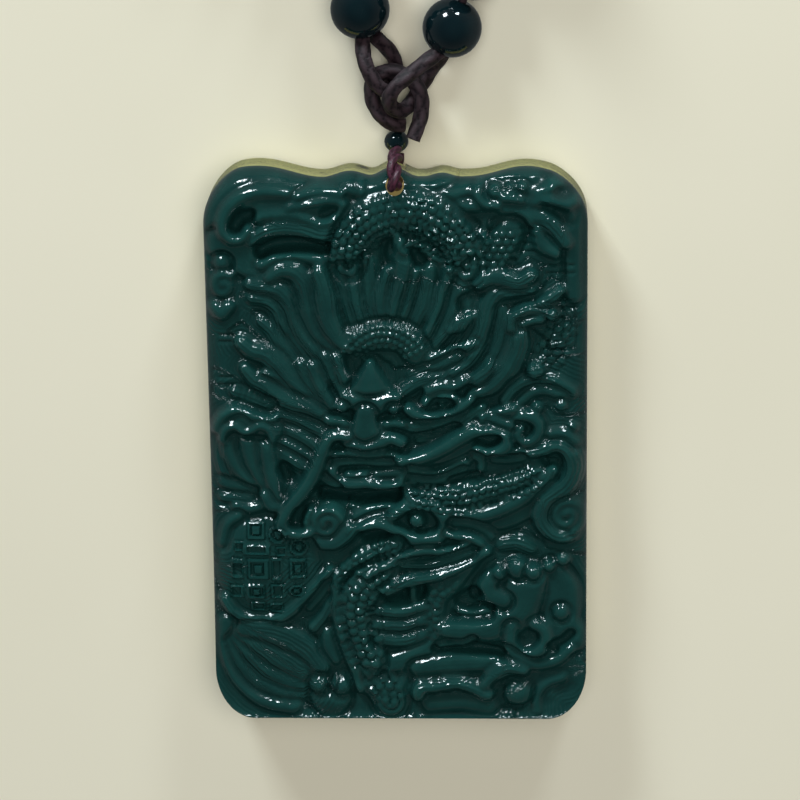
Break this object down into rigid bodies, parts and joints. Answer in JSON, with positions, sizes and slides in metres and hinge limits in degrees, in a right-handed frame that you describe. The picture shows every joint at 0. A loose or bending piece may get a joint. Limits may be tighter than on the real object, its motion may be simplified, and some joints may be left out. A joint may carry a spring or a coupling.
{
  "type": "carved stone pendant",
  "caption": "Rounded rectangular two-colour stone plaque carved in relief with a dragon among clouds, on a cord and a string of round beads.",
  "frame": {"origin": "on the surface the pendant lies on, under the middle of the plaque", "axes": "+X to the viewer's right across the carved face, +Y along the plaque to its top edge and the cord, +Z out of the carved face"},
  "size_m": [0.066, 0.1488, 0.0082],
  "materials": {
    "dark_stone": "polished, dark teal green front over a tan back layer",
    "bead_stone": "polished, nearly black green",
    "braided_cord": "dark brown waxed braid",
    "thin_cord": "purple-brown twisted thread"
  },
  "bodies": {
    "root": {"plaque": "dark_stone", "hanging_loop": "thin_cord", "spacer_bead": "bead_stone", "eye_loop": "braided_cord", "cord_left": "braided_cord", "cord_right": "braided_cord", "bead_left_1": "bead_stone", "bead_left_2": "bead_stone", "bead_right_1": "bead_stone", "bead_right_2": "bead_stone", "necklace_coil": "bead_stone"}
  },
  "joints": []
}
